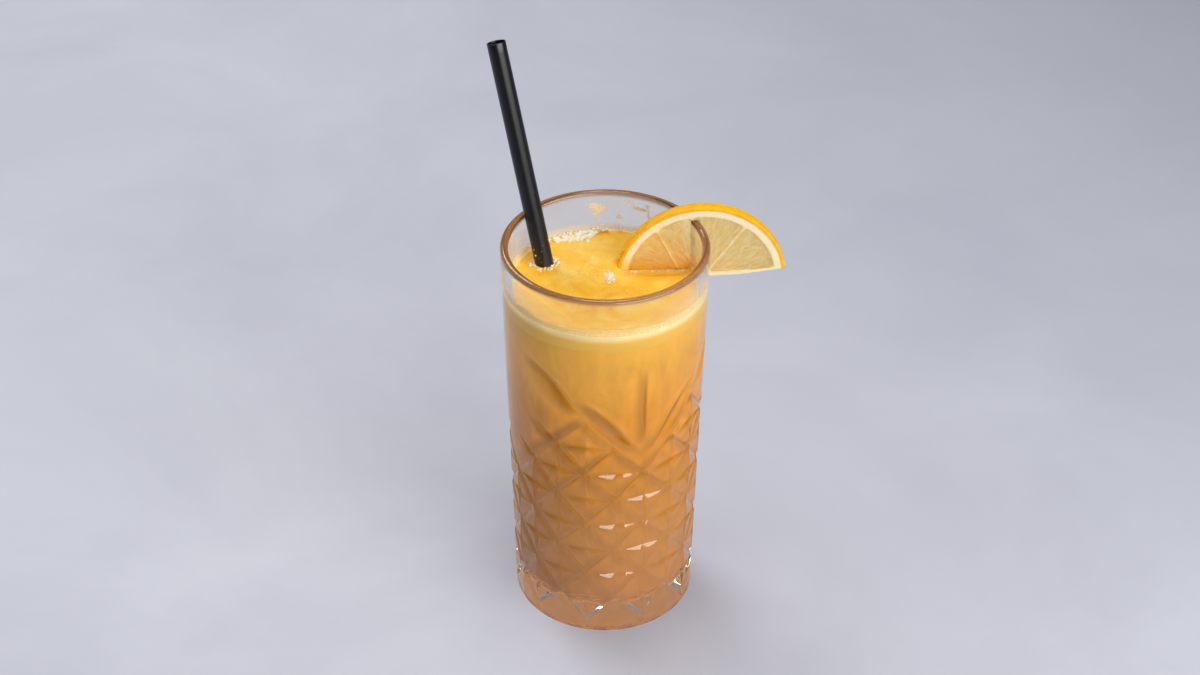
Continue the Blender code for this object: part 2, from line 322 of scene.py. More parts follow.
def leaf(x, z, start, end, half_w, depth, both_ends):
    """Depth of a leaf cut between two points: its width follows a sine or a straight taper."""
    ax, az = start[0] * COLUMN_W, start[1] * ROW_H
    dx, dz = end[0] * COLUMN_W - ax, end[1] * ROW_H - az
    s = np.clip(((x - ax) * dx + (z - az) * dz) / math.hypot(dx, dz) ** 2, 0.0, 1.0)
    off = np.hypot(x - ax - s * dx, z - az - s * dz)
    width = half_w * (np.sin(math.pi * s) if both_ends else 1.0 - s)
    inside = width - np.sqrt(off * off + 0.01) + 0.1
    return depth / half_w * 0.5 * (inside + np.sqrt(inside * inside + 0.01)) - 0.002


def zones(c, m):
    """How far a point lies above the diamonds' zigzag upper border, and below their lower one."""
    q = np.abs((c + 5.0) % 10.0 - 5.0)
    above = m - np.where(q <= 2.0, 6.0 + q, 10.0 - q)
    return q, above, np.abs((c + 1.0) % 2.0 - 1.0) - m


def to_grooves(c, m):
    """Rows to the nearest groove that rises to the right, and to the nearest that falls."""
    return [np.abs(d - 2.0 * np.round(d / 2.0)) for d in (m - c, m + c)]


def from_star(c, m):
    """Columns and rows from the middle of the star in the diamond that holds the point."""
    p = 2.0 * np.floor((m - c) / 2.0) + 1.0
    r = 2.0 * np.floor((m + c) / 2.0) + 1.0
    return c - 0.5 * (r - p), m - 0.5 * (p + r)


def drawn_in(across, along):
    """Grid lines across a leaf, drawn in so that one always runs on the leaf's tapering border."""
    far, s = np.abs(across), np.abs(along)
    share = np.where(s < STAR_LONG, 1.0 - s / STAR_LONG, (s - STAR_LONG) / (1.0 - STAR_LONG))
    edge = STAR_HALF * np.clip(share, 0.15, 1.0)
    outer = edge + (far - STAR_HALF) * (2.0 * STAR_HALF - edge) / STAR_HALF
    moved = np.where(far < 2.0 * STAR_HALF, outer, far)
    return np.sign(across) * np.where(far <= STAR_HALF, far * edge / STAR_HALF, moved)


def onto_folds(c, m):
    """The grid's columns and rows after its lines have slid onto the stars' borders."""
    dc, dm = from_star(c, m)
    above, below = zones(c, m)[1:]
    inside = (above < -0.01) & (below < -0.01)
    across, along = drawn_in(dm, dc), drawn_in(dc, dm)
    return c + np.where(inside, along - dc, 0.0), m + np.where(inside, across - dm, 0.0)


def cut_depth(c, m):
    """Depth of the pattern at column c and row m: the deepest of the grooves, stars and leaves there."""
    q, above, below = zones(c, m)
    near = np.minimum(*to_grooves(c, m))
    near = np.where(above > 0.0, above, near)
    near = np.where(below > 0.0, below, near)
    depth = GROOVE_DEPTH * vee(near)

    dc, dm = from_star(c, m)
    inside = (above < 0.0) & (below < 0.0)
    for along, across in ((dc, dm), (dm, dc)):
        star = np.clip(1.0 - np.abs(along) / STAR_LONG - np.abs(across) / STAR_HALF, 0.0, None)
        depth = np.maximum(depth, np.where(inside, STAR_DEPTH * star, 0.0))

    part = c - np.floor(c)
    flat = FLATNESS * 0.5 * outer_r(60.0) * (2.0 * math.pi / COLUMNS) ** 2 * part * (1.0 - part)
    depth = depth + flat * np.clip(-above / 0.5, 0.0, 1.0)
    for one in LEAVES:
        depth = np.maximum(depth, leaf(q * COLUMN_W, m * ROW_H, *one))
    return np.clip(depth, 0.0, None)


# %% [markdown]
# The clear glass is a Principled shader with full transmission. A plain glass shader would hold back
# the lamps' light from the drink inside, so rays that look for a lamp pass straight through it. The
# bronze tint of the lip is painted: it stands in for the drink and the room that a real lip mirrors.

# %% Clear glass
GLASS_IOR = 1.51


def glass_material():
    """Clear polished glass that lets the lamps' light through to what is inside."""
    n = Finish("clear_glass")
    height = n.split(n.where())["Z"]
    path = n.add("LightPath").outputs
    diffuse = n.times(path["Is Diffuse Ray"], n.sum("GREATER_THAN", height, 0.001))
    n.see_through(n.sum("MAXIMUM", path["Is Shadow Ray"], diffuse), grey(0.95))
    return n.shade(
        Base_Color=n.ramp(
            n.times(height, 1.0 / (HEIGHT * MM)),
            (0.985, (0.965, 0.975, 0.965, 1.0)),
            (0.993, srgb(158, 112, 72)),
        ),
        Transmission_Weight=n.remap(height, 0.1379, 0.1390, 1.0, 0.6),
        Roughness=0.0,
        IOR=GLASS_IOR,
    )


# %% Build the glass
CREASE = 0.42
FOOT_RING_W, HOLLOW_DEEP = 1.2, 0.35


def glass_rings():
    """Rings of the whole skin: foot, cut wall, half-round lip, inner wall and rounded corner."""
    a = np.linspace(0.0, 0.5 * np.pi, 6)
    ring_r = FOOT_R - FOOT_ROUND - FOOT_RING_W
    foot_r = np.concatenate([[ring_r - 2.0, ring_r - 0.4, ring_r], FOOT_R - FOOT_ROUND * (1.0 - np.sin(a))])
    foot_z = np.concatenate([[HOLLOW_DEEP, HOLLOW_DEEP, 0.0], FOOT_ROUND * (1.0 - np.cos(a))])

    c, m = onto_folds(*pattern_grid(FIRST_ROW, LAST_ROW + 1))
    z = ROW_0 + ROW_H * m
    wall = turned(outer_r(z) - cut_depth(c, m), np.radians(FAN_DEG) + 2.0 * np.pi * c / COLUMNS, z)

    lip_z = HEIGHT - LIP_H
    middle, half = 0.5 * (outer_r(lip_z) + inner_r(lip_z)), 0.5 * (outer_r(lip_z) - inner_r(lip_z))
    a = np.linspace(0.0, np.pi, 15)
    plain = np.linspace(z.max() + 2.0, lip_z - 1.0, 5)
    down = np.linspace(lip_z - 2.0, FLOOR_Z + CORNER_R, 8)
    corner_r = inner_r(FLOOR_Z + CORNER_R) - CORNER_R
    b = np.linspace(0.0, 0.5 * np.pi, 9)[1:]
    rest_r = [outer_r(plain), middle + half * np.cos(a), inner_r(down), corner_r + CORNER_R * np.cos(b)]
    rest_z = [plain, lip_z + LIP_H * np.sin(a), down, FLOOR_Z + CORNER_R - CORNER_R * np.sin(b)]
    foot = turned(foot_r, around(ROUND), foot_z)
    rest = turned(np.concatenate(rest_r), around(ROUND), np.concatenate(rest_z))
    return np.concatenate([foot, wall, rest]), len(foot)


def fold_directions():
    """For each cell of the pattern, True where a groove or a star's fold runs up to the right through it."""
    c, m = pattern_grid(FIRST_ROW, LAST_ROW, 0.5)
    rise, fall = to_grooves(c, m)
    dc, dm = from_star(c, m)
    middle = (np.abs(dc) < STAR_HALF) & (np.abs(dm) < STAR_HALF)
    return np.where(middle, dc * dm > 0.0, rise < fall).reshape(-1)


def crease(mesh, allowed):
    """Mark edges sharp where faces meet at more than CREASE and both ends are allowed."""
    mesh.set_sharp_from_angle(angle=CREASE)
    ends = np.empty(len(mesh.edges) * 2, np.int32)
    mesh.edges.foreach_get("vertices", ends)
    sharp = np.empty(len(mesh.edges), bool)
    marks = mesh.attributes["sharp_edge"].data
    marks.foreach_get("value", sharp)
    sharp &= allowed[ends.reshape(-1, 2)].all(1)
    marks.foreach_set("value", sharp)
    return int(sharp.sum())


rings, foot_rows = glass_rings()
glass = closed_rings("cut_glass", rings, glass_material(), foot_rows * ROUND, fold_directions())
ring_c, ring_m = pattern_grid(FIRST_ROW - foot_rows, FIRST_ROW - foot_rows + len(rings))
on_cuts = (zones(ring_c, ring_m)[1] < -0.02) & (ring_m > FIRST_ROW / STEPS)
print("sharp edges:", crease(glass.data, np.append(on_cuts, [False, False])))
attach(glass, "root")
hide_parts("glass")
report(glass)

# %% [markdown]
# ## The drink
#
# The smoothie is an opaque orange drink that touches the glass all round. If its surface only met the
# inner wall, a thin gap of air could show, so it reaches a little way into the glass. Its colour runs
# from bright yellow-orange under the froth to a browner orange lower down, with soft streaks of pulp.
# The darkening is partly the drink's own colour and partly painted shade; the pale peach at the very
# bottom is painted light.

# %% [markdown]
# A cut in the glass works like a prism: it bends the light away from the drink right behind it and
# crowds it beside the cut, so every facet draws a dark patch with bright lines at its borders. The
# renderer's straight rays through the glass miss that. So it is worked out here once: light from the
# key lamp and the room is bent at every point of the cut surface, followed to the drink and counted
# there. It is painted for that one place of the lamp, and it stays if the glass is lit another way.
# CLOUDY (light goes further into a cloudy drink) and CONTRAST were set to match the photo.

# %% Light that the cuts throw on the drink
KEY_AT, KEY_TO, KEY_SIZE = (0.89, -0.955, 0.66), (0.0, 0.0, 0.07), (1.62, 0.5)
KEY_SHARE, ROOM_SHARE = 0.72, 0.28
DRINK_STEP, INTO_WALL = 0.5, 0.08
CLOUDY = 2.2
CONTRAST_Z = [FLOOR_Z + 1.0, FLOOR_Z + 5.0, 55.0, 85.0, 112.0, 117.0]
CONTRAST = [0.0, 0.20, 0.20, 0.75, 0.75, 0.0]


def light_directions():
    """Directions to the key lamp's patches and to the room all round, with the light that each sends."""
    to_key = np.subtract(KEY_AT, KEY_TO)
    side = unit(np.cross(to_key, [0.0, 0.0, 1.0]))
    up = unit(np.cross(side, to_key))
    a, b = np.meshgrid(np.linspace(-0.4, 0.4, 5), np.linspace(-0.33, 0.33, 3))
    key = to_key + KEY_SIZE[0] * a.reshape(-1, 1) * side + KEY_SIZE[1] * b.reshape(-1, 1) * up
    levels, turns = np.radians([-35.0, -10.0, 15.0, 40.0, 65.0]), np.radians(np.arange(0.0, 360.0, 45.0))
    high, turn = (v.reshape(-1) for v in np.meshgrid(levels, turns))
    room = np.stack([np.cos(high) * np.sin(turn), -np.cos(high) * np.cos(turn), np.sin(high)], -1)
    room_w = np.cos(high) * (1.0 + 0.5 * np.sin(high))
    room_w *= ROOM_SHARE * 4.0 / room_w.sum()
    return unit(np.concatenate([key, room])), np.append(np.full(len(key), KEY_SHARE / len(key)), room_w)


def cut_surface():
    """Angle, height, radius and normal (round, up, out) on a fine grid over the cut wall."""
    c, m = pattern_grid(2 * FIRST_ROW, 2 * LAST_ROW + 16, 0.5, 2)
    z = ROW_0 + ROW_H * m
    radius = outer_r(z) - cut_depth(c, m)
    step = 2.0 * np.pi / (2 * ROUND)
    round_slope = (np.roll(radius, -1, 1) - np.roll(radius, 1, 1)) / (2.0 * step * radius)
    up_slope = np.gradient(radius, axis=0) / (ROW_H / (2 * STEPS))
    normal = unit(np.stack([-round_slope, -up_slope, np.ones_like(radius)], -1))
    return np.radians(FAN_DEG) + 2.0 * np.pi * c / COLUMNS, z, radius, normal


def bent(way, normal):
    """Snell's law: the direction inside the glass of light that comes from way, and its cosine outside."""
    cos = (way * normal).sum(-1)
    lit = np.clip(cos, 0.0, 1.0)
    inner = np.sqrt(1.0 - (1.0 - lit ** 2) / GLASS_IOR ** 2)
    return -way / GLASS_IOR + (lit / GLASS_IOR - inner)[..., None] * normal, cos


def light_on_drink(rows_z):
    """Light that reaches each cell of the drink's wall, as a share of what plain glass would let there."""
    angle, z, radius, normal = cut_surface()
    wall = around(ROUND)
    count, plain = np.zeros(len(rows_z) * ROUND), np.zeros(ROUND)
    gap = radius - inner_r(np.maximum(z, FLOOR_Z + CORNER_R)) - INTO_WALL
    cell = ROW_H / (2 * STEPS) / DRINK_STEP / 2.0
    sin, cos = np.sin(angle), np.cos(angle)
    for (x, y, up), share in zip(*light_directions()):
        local = np.stack([x * cos + y * sin, up + 0.0 * angle, x * sin - y * cos], -1)
        ray, facing = bent(local, normal)
        lit = (facing > 0.02) & (local[..., 2] > 0.0)
        flux = np.where(lit, share * facing / normal[..., 2], 0.0) * cell
        far = CLOUDY * gap / np.clip(-ray[..., 2], 0.2, None)
        j = (angle - wall[0] + far * ray[..., 0] / (radius - 0.5 * gap)) * ROUND / (2.0 * np.pi)
        i = (z + far * ray[..., 1] - rows_z[0]) / DRINK_STEP
        i0, j0 = np.floor(i).astype(int), np.floor(j).astype(int)
        for di, dj in ((0, 0), (1, 0), (0, 1), (1, 1)):
            part = (i - i0 if di else 1 - (i - i0)) * (j - j0 if dj else 1 - (j - j0))
            row, col = i0 + di, (j0 + dj) % ROUND
            ok = (row >= 0) & (row < len(rows_z))
            count += np.bincount((row * ROUND + col)[ok], (flux * part)[ok], len(count))
        plain += share * np.clip(x * np.sin(wall) - y * np.cos(wall), 0.0, None)
    ratio = count.reshape(-1, ROUND) / plain
    for axis in (0, 1):
        ratio = 0.25 * np.roll(ratio, 1, axis) + 0.5 * ratio + 0.25 * np.roll(ratio, -1, axis)
    print("light behind the cuts, share of plain:", np.percentile(ratio[30:200], [2, 25, 50, 75, 98]).round(2))
    return 1.0 + (ratio - 1.0) * np.interp(rows_z, CONTRAST_Z, CONTRAST)[:, None]


# %% [markdown]
# The drink's underside gives off a faint peach light of its own. A real foot gathers light that the
# drink scatters down into it. Here it came out brown, so this stands in for it.

# %% Drink material


def drink_material():
    """Opaque fruit drink whose colour changes with height, partly as painted shade, with faint streaks of
    pulp.
    """
    n = Finish("fruit_drink")
    where = n.where()
    z = n.split(where)["Z"]
    height = n.sum("ADD", z, n.times(n.noise(where, 60.0, 4.0, 0.6, 0.4), 0.012))
    # Darker lower down: partly the drink's own colour, partly painted shade. The lowest stop, a pale peach, is
    # painted light for the underside that shows in the foot.
    colour = n.ramp(
        n.times(height, 1.0 / (HEIGHT * MM)),
        (0.072, srgb(255, 206, 150)),
        (0.090, srgb(196, 130, 78)),
        (0.30, srgb(202, 136, 66)),
        (0.52, srgb(209, 135, 42)),
        (0.68, srgb(226, 147, 36)),
        (0.78, srgb(242, 167, 52)),
        (0.88, srgb(251, 182, 60)),
    )
    streak = n.add("Mapping", {"Vector": where, "Scale": (1.0, 1.0, 0.35)}).outputs[0]
    pulp = n.noise(streak, 220.0, 5.0, 0.65, 0.8)
    colour = n.mix(1.0, colour, n.ramp(pulp, (0.3, grey(0.90)), (0.7, grey(1.06))), "MULTIPLY")
    gathered = n.ramp(
        n.times(n.add("Attribute", attribute_name="light").outputs["Fac"], 0.5),
        (0.0, (0.10, 0.06, 0.03, 1.0)),
        (0.22, (0.45, 0.36, 0.25, 1.0)),
        (0.5, grey(1.0)),
        (0.85, (1.55, 1.50, 1.40, 1.0)),
    )
    return n.shade(
        Base_Color=n.mix(1.0, colour, gathered, "MULTIPLY", True),
        Emission_Color=n.ramp(n.times(z, 10.0), (0.098, srgb(120, 92, 64)), (0.125, grey(0.0))),
        Emission_Strength=1.0,
        Subsurface_Weight=n.remap(z, 0.010, 0.013, 1.0, 0.0),
        Subsurface_Radius=(1.0, 0.6, 0.35),
        Subsurface_Scale=0.008,
        Roughness=0.6,
        Specular_IOR_Level=0.0,
    )


# %% Build the drink


def drink_rings():
    """Rings from the rounded floor up the wall to the froth, a little inside the glass's own wall."""
    centre_z = FLOOR_Z + CORNER_R
    centre_r = inner_r(centre_z) - CORNER_R
    a = np.linspace(0.0, 0.5 * np.pi, 9)
    reach = CORNER_R + INTO_WALL
    up = np.arange(centre_z + DRINK_STEP, FROTH_FLOOR - 0.1, DRINK_STEP)
    wall_r = inner_r(up) + INTO_WALL
    radii = [centre_r + reach * np.sin(a), wall_r, wall_r[-1] - np.array([0.0, 0.02, 1.0])]
    heights = [centre_z - reach * np.cos(a), up, [FROTH_FLOOR - 0.01, FROTH_FLOOR, FROTH_FLOOR]]
    return turned(np.concatenate(radii), around(ROUND), np.concatenate(heights))


drink_grid = drink_rings()
wall_z = np.arange(FLOOR_Z, FROTH_FLOOR, DRINK_STEP)
light = light_on_drink(wall_z)
nearest = np.round((drink_grid[:, 0, 2] - FLOOR_Z) / DRINK_STEP).astype(int).clip(0, len(wall_z) - 1)
drink = closed_rings("drink_body", drink_grid, drink_material())
here = np.append(light[nearest], [1.0, 1.0]).astype(np.float32)
drink.data.attributes.new("light", "FLOAT", "POINT").data.foreach_set("value", here)
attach(drink, "root")
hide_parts("smoothie")
report(drink)

# %% [markdown]
# ## The froth
#
# On top floats a layer of fine foam. Its edge clings to the glass and climbs a little, and it climbs the
# straw and the slice too. The top is a polar grid whose height adds those rims and a fine uneven relief.

# %% Froth material


def froth_material():
    """Yellow foam: a soft scattering surface with pores and paler lumps, cream where it climbs the glass."""
    n = Finish("froth")
    where = n.where()
    x, y, z = n.split(where)
    lumps = n.noise(where, 90.0, 4.0, 0.6, 0.6)
    colour = n.ramp(lumps, (0.30, srgb(242, 170, 20)), (0.50, srgb(250, 190, 52)), (0.70, srgb(254, 208, 104)))
    # Painted shadow: a deeper orange patch on the froth just in front of the slice stands in for the slice's
    # coloured shadow.
    values = {"Vector": where, "Location": (-0.0175, -0.017, -0.123), "Scale": (1.0, 2.4, 1.0)}
    juice = n.remap(n.length(n.add("Mapping", values).outputs[0]), 0.008, 0.017, 1.0, 0.0)
    colour = n.mix(juice, colour, srgb(246, 168, 0))
    top = n.remap(z, 0.1238, 0.1244)
    colour = n.mix(top, srgb(251, 192, 68), colour)
    rim = n.times(n.between(n.length(n.join(x, y)), 0.0302, 0.0306), n.between(z, 0.1222, 0.1246))
    return n.shade(
        Base_Color=n.mix(rim, colour, srgb(255, 226, 156)),
        Roughness=n.remap(top, 0.0, 1.0, 0.9, 0.35),
        Specular_IOR_Level=0.3,
        Subsurface_Weight=n.remap(z, 0.1225, 0.1240, 0.0, 0.5),
        Subsurface_Radius=(1.0, 0.5, 0.12),
        Subsurface_Scale=0.002,
        Normal=n.bump(n.noise(where, 2600.0, 3.0, 0.6), 0.25, 0.0004),
    )


# %% Build the froth
HOLLOW_W, HOLLOW_H = 8.0, 3.0
STRAW_SHARE = (FROTH_TOP - STRAW_FOOT[2]) / (STRAW_TOP[2] - STRAW_FOOT[2])
STRAW_IN_FROTH = STRAW_FOOT + STRAW_SHARE * (STRAW_TOP - STRAW_FOOT)


def straw_distance(x, y):
    """Distance in plan from the straw's skin, where the straw passes the froth's level."""
    return np.hypot(x - STRAW_IN_FROTH[0], y - STRAW_IN_FROTH[1]) - STRAW_R


def on_slice(x, y):
    """A place in plan as millimetres along the slice and across it."""
    dx, dy, cos, sin = x - SLICE_AT[0], y - SLICE_AT[1], math.cos(SLICE_TURN), math.sin(SLICE_TURN)
    return dx * cos + dy * sin, dy * cos - dx * sin


def slice_distance(x, y):
    """Distance in plan from the slice's two faces and its left end, at the froth's level."""
    along, across = on_slice(x, y)
    beside = np.clip(np.abs(across) - 0.5 * SLICE_T, 0.0, None)
    return np.hypot(np.clip(-26.5 - along, 0.0, None), beside)


def hollow(x, y):
    """Depth of the dip in front of the slice, deepest at its front face and gone HOLLOW_W away from it."""
    along, across = on_slice(x, y)
    front = np.clip((-across - 0.5 * SLICE_T) / HOLLOW_W, 0.0, 1.0)
    behind = np.clip(across / (0.5 * SLICE_T), 0.0, 1.0)
    end = np.clip((along + 30.0) / 5.0, 0.0, 1.0)
    return HOLLOW_H * 0.5 * (1.0 + np.cos(np.pi * front)) * (1.0 - behind) * end ** 2 * (3.0 - 2.0 * end)


def froth_level(x, y):
    """Height of the froth's top: climbing rims at glass, straw and slice over a gently uneven level."""
    from_wall = inner_r(FROTH_TOP + 0.8) + INTO_WALL - np.hypot(x, y)
    z = FROTH_TOP + 0.75 * np.exp(-((np.clip(from_wall, 0.0, None) / 0.55) ** 1.5))
    z += 0.45 * np.exp(-np.clip(straw_distance(x, y), 0.0, None) / 0.7)
    z += 0.40 * np.exp(-slice_distance(x, y) / 0.7)
    z -= hollow(x, y)
    return z + 0.10 * np.sin(0.31 * x + 1.3) * np.sin(0.27 * y + 0.4) + 0.05 * np.sin(0.9 * x + 0.7 * y)


def froth_rings():
    """Rings of the froth: underside edge, side wall in the glass, then the rough top to the middle."""
    angles = around(480)
    side_z = FROTH_FLOOR + np.array([-0.3, -0.3, -0.28, 2.5, FROTH_TOP + 0.6 - FROTH_FLOOR])
    side_r = inner_r(side_z) + INTO_WALL + 0.02 - np.array([1.0, 0.02, 0.0, 0.0, 0.0])
    wall = inner_r(FROTH_TOP + 0.8) + INTO_WALL
    radius = np.concatenate([wall - np.linspace(0.1, 1.6, 10), np.linspace(wall - 1.9, 0.4, 86)])
    top = turned(radius, angles, radius)
    rough = np.random.default_rng(4).normal(size=top.shape[:2])
    rough = 0.5 * rough + 0.25 * (np.roll(rough, 1, 1) + np.roll(rough, -1, 1))
    top[..., 2] = np.minimum(froth_level(top[..., 0], top[..., 1]) + 0.02 * rough, FROTH_TOP + 0.78)
    return np.concatenate([turned(side_r, angles, side_z), top])


froth = closed_rings("froth_top", froth_rings(), froth_material())
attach(froth, "root")
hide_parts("froth")
report(froth)

# %% [markdown]
# ## The straw
#
# A plain black drinking straw, one extruded tube. A profile (outside, rounded end, inside) carried round
# its axis gives the real thin wall, and the ends show it. The plastic is satin, a little uneven in gloss.

# %% Straw material and mesh


def straw_axes():
    """The straw's direction and two directions across it, as unit vectors."""
    along = unit(STRAW_TOP - STRAW_FOOT)
    side = unit(np.cross(along, [0.0, 0.0, 1.0]))
    return along, side, np.cross(along, side)


def straw_material():
    """Black satin plastic with slightly uneven colour, gloss and surface."""
    n = Finish("black_straw")
    where = n.where()
    spots = n.noise(where, 900.0, 3.0, 0.6)
    return n.shade(
        Base_Color=n.ramp(spots, (0.3, srgb(5, 5, 8)), (0.7, srgb(13, 13, 17))),
        Roughness=n.remap(spots, 0.0, 1.0, 0.24, 0.36),
        Normal=n.bump(n.noise(where, 1500.0, 2.0, 0.5), 0.08, 0.0002),
    )


def straw_mesh():
    """The tube: rings up the outside, over the top edge, down the inside and round the foot's edge."""
    along, side, across = straw_axes()
    length = np.linalg.norm(STRAW_TOP - STRAW_FOOT)
    half = 0.5 * STRAW_WALL
    a = np.linspace(0.0, np.pi, 7)[1:-1]
    up = np.linspace(half, length - half, 60)
    s = np.concatenate([up, length - half + half * np.sin(a), up[::-1], half - half * np.sin(a)])
    edge = STRAW_R - half + half * np.cos(a)
    r = np.concatenate([np.full(60, STRAW_R), edge, np.full(60, STRAW_R - STRAW_WALL), edge[::-1]])
    t = 2.0 * np.pi * np.arange(64) / 64
    outward = np.cos(t)[:, None] * side + np.sin(t)[:, None] * across
    grid = STRAW_FOOT + s[:, None, None] * along + r[:, None, None] * outward
    quads = grid_quads(len(s) + 1, 64)[:, [0, 3, 2, 1]] % (len(s) * 64)
    return new_mesh("straw_tube", grid.reshape(-1, 3), quads.tolist(), straw_material())


straw = straw_mesh()
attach(straw, "root")
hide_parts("straw")
report(straw)

# %% [markdown]
# ## The lemon half-wheel: its plan
#
# Half a slice of lemon hangs on the rim. From outside in it has an oily orange-yellow peel, a cream pith and
# four segments of pale, wet flesh between thin membranes. One plan serves the shape and the finish: how far a
# point lies inside a segment, measured from the pith, from the nearest membrane and from the flat cut. A
# smooth minimum of the three rounds the segments' corners, as on a real slice.

# %% Plan of the segments
PEEL_AT, PITH_AT = 27.15, 24.9
MEMBRANES = (
    ((-5.0, 0.0), (-0.324, 0.946)),
    ((0.0, 0.0), (0.0, 1.0)),
    ((0.0, 0.0), (0.693, 0.720)),
)
CORNER = 2.2
CORE_X, CORE_Y = (3.7, 20.0), (2.3, 0.8)
ARCH_H, ARCH_W = 1.3, 9.0


def turn_pair(a, b, angle):
    """Two directions turned by an angle in their own plane, a towards b."""
    return math.cos(angle) * a + math.sin(angle) * b, math.cos(angle) * b - math.sin(angle) * a


def slice_axes():
    """Directions along the flat cut edge, up the slice and through it to the back."""
    x, y, z = np.eye(3)
    along, level_back = turn_pair(x, y, SLICE_TURN)
    up, back = turn_pair(z, level_back, SLICE_TILT)
    return (*turn_pair(along, up, SLICE_LEAN), back)


def smooth_min(a, b, k):
    """The smaller of two arrays, with a soft change from one to the other over a width k."""
    h = np.clip(k - np.abs(a - b), 0.0, None) / k
    return np.minimum(a, b) - h ** 3 * k / 6.0


def into_segment(x, y):
    """How far a point of the slice's face lies inside its segment, in millimetres."""
    inside = PITH_AT - np.hypot(x, y / SLICE_RISE)
    for (px, py), (dx, dy) in MEMBRANES:
        inside = smooth_min(inside, np.abs((x - px) * dy - (y - py) * dx), CORNER)
    return smooth_min(inside, y - np.interp(x, CORE_X, CORE_Y), CORNER)


print("depth inside a segment in mm:", round(float(into_segment(np.array([8.0]), np.array([17.0]))[0]), 2))

# %% [markdown]
# ## Lemon finish
#
# The nodes repeat the plan on the slice's own axes. Peel gets dimples like oil pores, pith stays matt, and
# the flesh is a wet, partly clear jelly whose juice sacs show as long drops that point to the middle.

# %% Slice material


def slice_plan(n, where):
    """Sockets in millimetres and radians: distance from the middle, angle, and depth inside a segment."""
    local = n.add("VectorMath", {0: where, 1: tuple(SLICE_AT * MM)}, operation="SUBTRACT").outputs[0]
    local = n.add("VectorMath", {0: local, "Scale": 1000.0}, operation="SCALE").outputs[0]
    x, y = (
        n.add("VectorMath", {0: local, 1: axis.tolist()}, operation="DOT_PRODUCT").outputs["Value"]
        for axis in slice_axes()[:2]
    )
    wobble = n.sum("MULTIPLY_ADD", n.noise(where, 180.0, 3.0), 0.9, -0.45)
    rise = n.sum("DIVIDE", y, SLICE_RISE)
    out = n.sum("ADD", n.length(n.join(x, rise)), n.times(wobble, 0.5))
    inside = n.sum("SUBTRACT", PITH_AT, out)
    for (px, py), (dx, dy) in MEMBRANES:
        level, steep = n.times(n.sum("SUBTRACT", x, px), dy), n.times(n.sum("SUBTRACT", y, py), dx)
        off = n.sum("ADD", n.sum("SUBTRACT", level, steep), n.times(wobble, 0.7))
        inside = n.sum("SMOOTH_MIN", inside, n.sum("ABSOLUTE", off), CORNER)
    core = n.remap(x, *CORE_X, *CORE_Y)
    inside = n.sum("SMOOTH_MIN", inside, n.sum("SUBTRACT", y, core), CORNER)
    return out, n.sum("ARCTAN2", rise, x), inside


def slice_material():
    """Lemon: dimpled orange-yellow peel, cream pith and membranes, wet and partly clear flesh."""
    n = Finish("lemon")
    where = n.where()
    out, turn, inside = slice_plan(n, where)
    polar = n.join(n.times(turn, 9.0), n.times(out, 0.16))
    values = {"Vector": polar, "Scale": 1.0, "Randomness": 0.9}
    sacs = n.add("TexVoronoi", values, feature="DISTANCE_TO_EDGE").outputs["Distance"]
    flesh = n.ramp(
        n.noise(polar, 2.2, 4.0, 0.6, 0.3),
        (0.30, srgb(236, 202, 118)),
        (0.50, srgb(242, 214, 142)),
        (0.72, srgb(250, 231, 176)),
    )
    flesh = n.mix(n.times(n.between(sacs, 0.08, 0.0), 0.5), flesh, srgb(253, 238, 184))
    skin = n.ramp(n.between(inside, 0.0, 1.0), (0.0, srgb(250, 234, 196)), (1.0, srgb(248, 218, 146)))
    colour = n.mix(n.between(inside, -0.22, 0.2), skin, flesh)
    zest = n.ramp(
        n.noise(where, 420.0, 4.0, 0.6, 0.2),
        (0.32, srgb(250, 170, 0)),
        (0.50, srgb(254, 183, 0)),
        (0.70, srgb(255, 196, 4)),
    )
    place = n.split(where)
    # Painted light: low down inside the glass the slice is tinted deeper yellow, for light thrown up from the
    # froth.
    painted_froth_light = n.times(n.between(place["Z"], 0.1285, 0.1215), 0.85)
    painted_froth_light = n.times(painted_froth_light, n.remap(place["X"], 0.027, 0.030, 1.0, 0.0))
    colour = n.mix(painted_froth_light, colour, srgb(252, 190, 20))
    peel = n.between(out, PEEL_AT - 0.35, PEEL_AT + 0.15)
    wet = n.between(inside, -0.1, 0.5)
    pores = n.add("TexVoronoi", {"Vector": where, "Scale": 900.0}, feature="F1").outputs["Distance"]
    dimples = n.times(n.between(pores, 0.0, 0.5), peel)
    relief = n.sum("ADD", dimples, n.times(n.between(sacs, 0.0, 0.25), wet))
    return n.shade(
        Base_Color=n.mix(peel, colour, zest),
        Transmission_Weight=n.remap(wet, 0.0, 1.0, 0.0, 0.42),
        Roughness=n.remap(wet, 0.0, 1.0, 0.42, 0.22),
        IOR=1.36,
        Subsurface_Weight=0.35,
        Subsurface_Radius=(1.0, 0.6, 0.2),
        Subsurface_Scale=0.0015,
        Normal=n.bump(relief, 0.25, 0.0003),
    )


# %% [markdown]
# ## The lemon half-wheel: its shape
#
# The slice could be a flat half disc with a drawn-on pattern, but its edge shows real relief. Here a profile
# runs out along the front face, round over the peel and back in along the rear face. It is carried round
# the half circle, and the flesh dips between the membranes. The slit is cut last, with a copy of the
# glass's own wall, a little thicker, so the slice really sits on the rim.

# %% Slice mesh
FLESH_DIP, EDGE_ROUND, SLIT_GAP = 0.28, 0.45, 0.12


